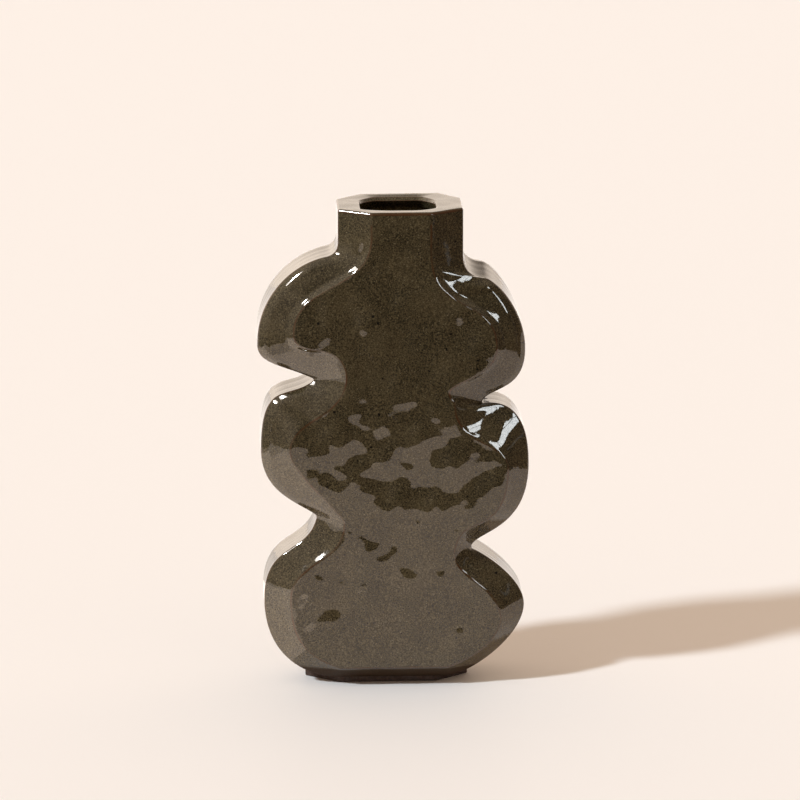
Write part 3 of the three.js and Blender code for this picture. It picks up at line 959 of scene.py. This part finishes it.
def add_floor():
    """The sheet of floor that the glaze mirrors, and the wider floor, which only the camera sees."""
    material = floor_material()
    sheet = [
        (SHEET_LEFT[0], SHEET_FRONT[0]), (SHEET_RIGHT, SHEET_FRONT[1]), (SHEET_RIGHT, SHEET_SIDES_END),
        (FLOOR_REACH, SHEET_SIDES_END), (FLOOR_REACH, FLOOR_BACK), (-FLOOR_REACH, FLOOR_BACK),
        (-FLOOR_REACH, SHEET_SIDES_END), (SHEET_LEFT[1], SHEET_SIDES_END),
    ]
    around_it = [
        (-FLOOR_REACH, -FLOOR_REACH), (FLOOR_REACH, -FLOOR_REACH),
        (FLOOR_REACH, FLOOR_BACK), (-FLOOR_REACH, FLOOR_BACK),
    ]
    for name, corners, height in (("sheet", sheet, 0.0), ("floor", around_it, -FLOOR_DROP)):
        mesh = bpy.data.meshes.new(name)
        mesh.from_pydata([(*corner, height) for corner in corners], [], [tuple(range(len(corners)))])
        mesh.materials.append(material)
        piece = bpy.data.objects.new(name, mesh)
        bpy.context.scene.collection.objects.link(piece)
        if name == "floor":
            piece.visible_glossy = False
            piece.visible_diffuse = False


# The light: a key from the upper left, a window at the right and a room, pale behind and dark in front
KEY_BEARING = math.radians(25.3)
KEY_RISE = math.radians(40.5)
KEY_STRENGTH = 2.7
KEY_COLOUR = (0.78, 0.90, 1.0)
KEY_WIDTH = math.radians(5.5)
LAMP_DISTANCE = 1.2
LAMP_SIZE = 0.28
LAMP_RADIANCE = 14.0
LAMP_COLOUR = (1.0, 1.0, 1.0)
BACKGROUND = (0.97, 0.86, 0.78)
ROOM_WARM = (1.0, 0.80, 0.63)
ROOM_PALE = (1.0, 0.87, 0.75)

# Strengths of the room's parts: ambient ones light the vase, and mirror ones are what the glaze mirrors
AMBIENT_FRONT = 0.09
AMBIENT_BACK = 1.30
AMBIENT_SIDE = 0.30
AMBIENT_TOP = 0.26
MIRROR_FRONT = 0.03
MIRROR_HORIZON = 1.4
MIRROR_BACK = 0.4
MIRROR_LEFT = 0.42
MIRROR_LEFT_BACK = 0.5
MIRROR_RIGHT = 0.04
MIRROR_TOP = 0.20

# Parts of the room, between two values of one axis of a direction: where a part starts and where it is full
BEHIND_Y = (-0.05, 0.35)
ABOVE_Z = (-0.02, 0.15)
BELOW_CEILING_Z = (0.75, 0.25)
CEILING_Z = (0.35, 0.9)
LEFT_X = (0.1, -0.6)
LEFT_Z = (-0.5, 0.15)
RIGHT_X = (-0.1, 0.6)
MIRROR_BACK_Z = (0.0, 0.14)
MIRROR_FADE_Z = (0.75, 0.18)
MIRROR_RIGHT_X = (0.3, 0.9)


def add_area(name, shape, sizes, radiance, colour, place, turn):
    """A flat lamp of even radiance that the camera doesn't see."""
    light = bpy.data.lights.new(name, "AREA")
    light.shape = shape
    light.size, light.size_y = sizes
    area = sizes[0] * sizes[1] * (math.pi / 4 if shape == "DISK" else 1.0)
    light.energy = radiance * math.pi * area
    light.color = colour
    lamp = bpy.data.objects.new(name, light)
    lamp.location = place
    lamp.rotation_euler = turn
    lamp.visible_camera = False
    bpy.context.scene.collection.objects.link(lamp)
    return lamp


def add_key():
    """The sun that lights the vase, and the lamp's own disc, which only the glaze mirrors."""
    light = bpy.data.lights.new("key", "SUN")
    light.energy = KEY_STRENGTH
    light.color = KEY_COLOUR
    light.angle = KEY_WIDTH
    key = bpy.data.objects.new("key", light)
    level = math.cos(KEY_RISE)
    towards = Vector((
        level * math.cos(KEY_BEARING), level * math.sin(KEY_BEARING), -math.sin(KEY_RISE),
    ))
    key.rotation_euler = towards.to_track_quat("-Z", "Y").to_euler()
    bpy.context.scene.collection.objects.link(key)
    disc = add_area(
        "key_shade", "DISK", (LAMP_SIZE, LAMP_SIZE), LAMP_RADIANCE, LAMP_COLOUR,
        VIEW_TARGET - towards * LAMP_DISTANCE, key.rotation_euler,
    )
    disc.visible_diffuse = False


# The window: bearings turn from the front of the vase towards the right
WINDOW_DISTANCE = 0.8
PANES = (
    {"bearing": math.radians(40.9), "width": 0.14, "sill": 0.247, "height": 0.134, "radiance": 10.0},
    {"bearing": math.radians(40.9), "width": 0.14, "sill": 0.393, "height": 0.134, "radiance": 10.0},
    {"bearing": math.radians(58.3), "width": 0.035, "sill": 0.0, "height": 0.30, "radiance": 0.3},
)
PANE_COLOUR = (0.80, 0.91, 1.0)


def add_window():
    """Two bright panes, one above the other, and a dim one beside them, that only the glaze mirrors."""
    for part in PANES:
        facing = Vector((-math.sin(part["bearing"]), math.cos(part["bearing"]), 0.0))
        middle = part["sill"] + part["height"] / 2
        place = -facing * WINDOW_DISTANCE + Vector((0.0, 0.0, middle))
        turn = facing.to_track_quat("-Z", "Y").to_euler()
        sizes = part["width"], part["height"]
        pane = add_area("pane", "RECTANGLE", sizes, part["radiance"], PANE_COLOUR, place, turn)
        pane.visible_diffuse = False


# The card: flat, just above the floor, at the left
CARD_MIDDLE = Vector((-0.275, -0.02, 0.002))
CARD_SIZE = (0.44, 0.36)
CARD_RADIANCE = 0.7
FACING_UP = (math.pi, 0.0, 0.0)


def add_card():
    """A pale card beside the vase that throws light back up."""
    add_area("bounce_card", "RECTANGLE", CARD_SIZE, CARD_RADIANCE, ROOM_PALE, CARD_MIDDLE, FACING_UP)


def light_room():
    """A room that lights the vase softly and warmly, and that the glaze mirrors more clearly."""
    world = bpy.data.worlds.new("room")
    bpy.context.scene.world = world
    world.use_nodes = True
    tree = Nodes(world.node_tree)
    direction = tree.make("ShaderNodeSeparateXYZ")
    tree.join(tree.make("ShaderNodeTexCoord").outputs["Generated"], direction.inputs[0])
    x, y, z = (direction.outputs[axis] for axis in "XYZ")
    behind = tree.ramp(y, *BEHIND_Y)
    below_ceiling = tree.ramp(z, *BELOW_CEILING_Z)
    ceiling = tree.ramp(z, *CEILING_Z)
    left = tree.math("MULTIPLY", tree.ramp(x, *LEFT_X), tree.ramp(z, *LEFT_Z))
    right = tree.math("MULTIPLY", tree.ramp(x, *RIGHT_X), tree.ramp(z, *ABOVE_Z))

    wall_behind = tree.math("MULTIPLY", behind, below_ceiling)
    soft = tree.math("MULTIPLY_ADD", wall_behind, AMBIENT_BACK, AMBIENT_FRONT)
    soft = tree.math("MULTIPLY_ADD", tree.math("ADD", left, right), AMBIENT_SIDE, soft)
    soft = tree.math("MULTIPLY_ADD", ceiling, AMBIENT_TOP, soft)

    back = tree.math("MULTIPLY_ADD", tree.ramp(z, *MIRROR_BACK_Z), MIRROR_BACK, MIRROR_HORIZON)
    back = tree.math("MULTIPLY_ADD", left, MIRROR_LEFT_BACK, back)
    back = tree.math("MULTIPLY", back, tree.ramp(z, *MIRROR_FADE_Z))
    clear = tree.math("MULTIPLY_ADD", behind, back, MIRROR_FRONT)
    clear = tree.math("MULTIPLY_ADD", left, MIRROR_LEFT, clear)
    clear = tree.math("MULTIPLY_ADD", tree.ramp(x, *MIRROR_RIGHT_X), MIRROR_RIGHT, clear)
    clear = tree.math("MULTIPLY_ADD", ceiling, MIRROR_TOP, clear)

    path = tree.make("ShaderNodeLightPath")
    surface = room_part(tree, ROOM_WARM, soft)
    for ray, colour, strength in (
        ("Is Glossy Ray", ROOM_PALE, clear),
        ("Is Transmission Ray", BACKGROUND, 1.0),
        ("Is Camera Ray", BACKGROUND, 1.0),
    ):
        share = tree.make("ShaderNodeMixShader")
        tree.join(path.outputs[ray], share.inputs[0])
        tree.join(surface, share.inputs[1])
        tree.join(room_part(tree, colour, strength), share.inputs[2])
        surface = share.outputs[0]
    tree.join(surface, tree.make("ShaderNodeOutputWorld").inputs["Surface"])


def room_part(tree, colour, strength):
    """One colour of the room, at a plain strength or at one that the tree works out."""
    part = tree.make("ShaderNodeBackground")
    part.inputs["Color"].default_value = (*colour, 1.0)
    if isinstance(strength, float):
        part.inputs["Strength"].default_value = strength
    else:
        tree.join(strength, part.inputs["Strength"])
    return part.outputs[0]


def build():
    add_camera()
    glaze, clay = glaze_material(), clay_material()
    add_face_slab("glazed_front", "front_slab", "front_bevel", FRONT_FACE, FRONT_ARRIS, FRONT_JOINT, glaze)
    add_face_slab("glazed_back", "back_slab", "back_bevel", BACK_FACE, BACK_ARRIS, BACK_JOINT, glaze)
    for side_name, side in (("left", LEFT), ("right", RIGHT)):
        for part in ("neck", *LOBES):
            add_strip(f"glazed_{side_name}_{part}", f"{side_name}_{part}_strip", side, part, glaze)
    add_mouth_plate("glazed_mouth", "mouth_plate", glaze)
    add_foot("bare_foot", "foot_plate", clay)
    add_floor()
    add_key()
    add_window()
    add_card()
    light_room()
    bpy.context.scene.view_settings.view_transform = "Standard"


build()
bpy.context.view_layer.update()
